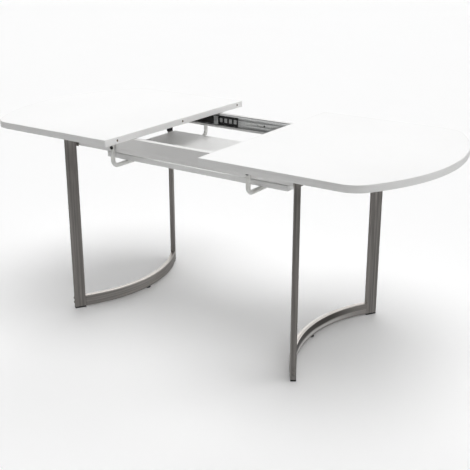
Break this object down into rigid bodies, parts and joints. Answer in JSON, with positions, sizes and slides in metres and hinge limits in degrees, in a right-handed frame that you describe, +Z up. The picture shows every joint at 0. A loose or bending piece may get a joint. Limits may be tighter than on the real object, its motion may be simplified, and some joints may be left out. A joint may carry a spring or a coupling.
{
  "type": "extending dining table",
  "caption": "Extending dining table, shown open: bowed-end white top in two halves on ball-bearing runners, steel legs with curved foot bars, storage board on rods.",
  "frame": {"origin": "on the floor, under the middle of the apron frame", "axes": "+X along the table, the way the right half pulls out; +Y across it, away from the front apron; +Z up"},
  "size_m": [1.788, 0.842, 0.75],
  "materials": {
    "white_board": "white satin lacquer on board",
    "white_paint": "white powder coat",
    "brushed_steel": "brushed along the tubes",
    "zinc_steel": "bright zinc plate",
    "black_plastic": "satin black",
    "black_steel": "black lacquer"
  },
  "bodies": {
    "frame": {"apron_front": "white_board", "apron_back": "white_board", "end_rail_left": "brushed_steel", "end_rail_right": "brushed_steel", "leg_plate_front_left": "brushed_steel", "leg_plate_front_right": "brushed_steel", "leg_plate_back_left": "brushed_steel", "leg_plate_back_right": "brushed_steel", "leg_post_front_left": "brushed_steel", "leg_post_front_right": "brushed_steel", "leg_post_back_left": "brushed_steel", "leg_post_back_right": "brushed_steel", "foot_pad_front_left": "black_plastic", "foot_pad_front_right": "black_plastic", "foot_pad_back_left": "black_plastic", "foot_pad_back_right": "black_plastic", "foot_screw_front_left_low": "brushed_steel", "foot_screw_front_left_high": "brushed_steel", "foot_screw_front_right_low": "brushed_steel", "foot_screw_front_right_high": "brushed_steel", "foot_screw_back_left_low": "brushed_steel", "foot_screw_back_left_high": "brushed_steel", "foot_screw_back_right_low": "brushed_steel", "foot_screw_back_right_high": "brushed_steel", "foot_bar_left": "brushed_steel", "foot_bar_right": "brushed_steel", "foot_bar_glide_left": "black_plastic", "foot_bar_glide_right": "black_plastic", "storage_rod_left": "white_paint", "storage_rod_right": "white_paint", "rod_screw_front_left": "black_plastic", "rod_screw_front_right": "black_plastic", "rod_screw_back_left": "black_plastic", "rod_screw_back_right": "black_plastic", "runner_channel_front": "zinc_steel", "runner_channel_back": "zinc_steel", "runner_screw_front": "zinc_steel", "runner_screw_back": "zinc_steel"},
    "left_half": {"table_top_left": "white_board", "seam_catch_left": "black_plastic", "runner_member_front_left": "zinc_steel", "runner_member_back_left": "zinc_steel", "runner_angle_front_left": "black_steel", "runner_angle_back_left": "black_steel"},
    "right_half": {"table_top_right": "white_board", "seam_catch_right": "black_plastic", "runner_member_front_right": "zinc_steel", "runner_member_back_right": "zinc_steel", "runner_angle_front_right": "black_steel", "runner_angle_back_right": "black_steel", "alignment_pin_front": "zinc_steel", "alignment_pin_middle": "zinc_steel", "alignment_pin_back": "zinc_steel"},
    "cage_front_left": {"runner_cage_front_left": "black_plastic"},
    "cage_front_right": {"runner_cage_front_right": "black_plastic"},
    "cage_back_left": {"runner_cage_back_left": "black_plastic"},
    "cage_back_right": {"runner_cage_back_right": "black_plastic"},
    "shelf": {"storage_shelf": "white_board"}
  },
  "joints": [
    {"name": "left_half_slide", "type": "slide", "parent": "frame", "child": "left_half", "axis": [1, 0, 0], "range_m": [0, 0.19675]},
    {"name": "right_half_slide", "type": "slide", "parent": "frame", "child": "right_half", "axis": [-1, 0, 0], "range_m": [0, 0.19675]},
    {"name": "cage_front_left_slide", "type": "slide", "parent": "frame", "child": "cage_front_left", "axis": [1, 0, 0], "range_m": [0, 0.0984]},
    {"name": "cage_front_right_slide", "type": "slide", "parent": "frame", "child": "cage_front_right", "axis": [-1, 0, 0], "range_m": [0, 0.0984]},
    {"name": "cage_back_left_slide", "type": "slide", "parent": "frame", "child": "cage_back_left", "axis": [1, 0, 0], "range_m": [0, 0.0984]},
    {"name": "cage_back_right_slide", "type": "slide", "parent": "frame", "child": "cage_back_right", "axis": [-1, 0, 0], "range_m": [0, 0.0984]},
    {"name": "shelf_slide", "type": "slide", "parent": "frame", "child": "shelf", "axis": [1, 0, 0], "range_m": [-0.1, 0.06]}
  ],
  "couplings": [
    {"joint": "cage_front_left_slide", "follows": "left_half_slide", "ratio": 0.5},
    {"joint": "cage_front_right_slide", "follows": "right_half_slide", "ratio": 0.5},
    {"joint": "cage_back_left_slide", "follows": "left_half_slide", "ratio": 0.5},
    {"joint": "cage_back_right_slide", "follows": "right_half_slide", "ratio": 0.5}
  ]
}
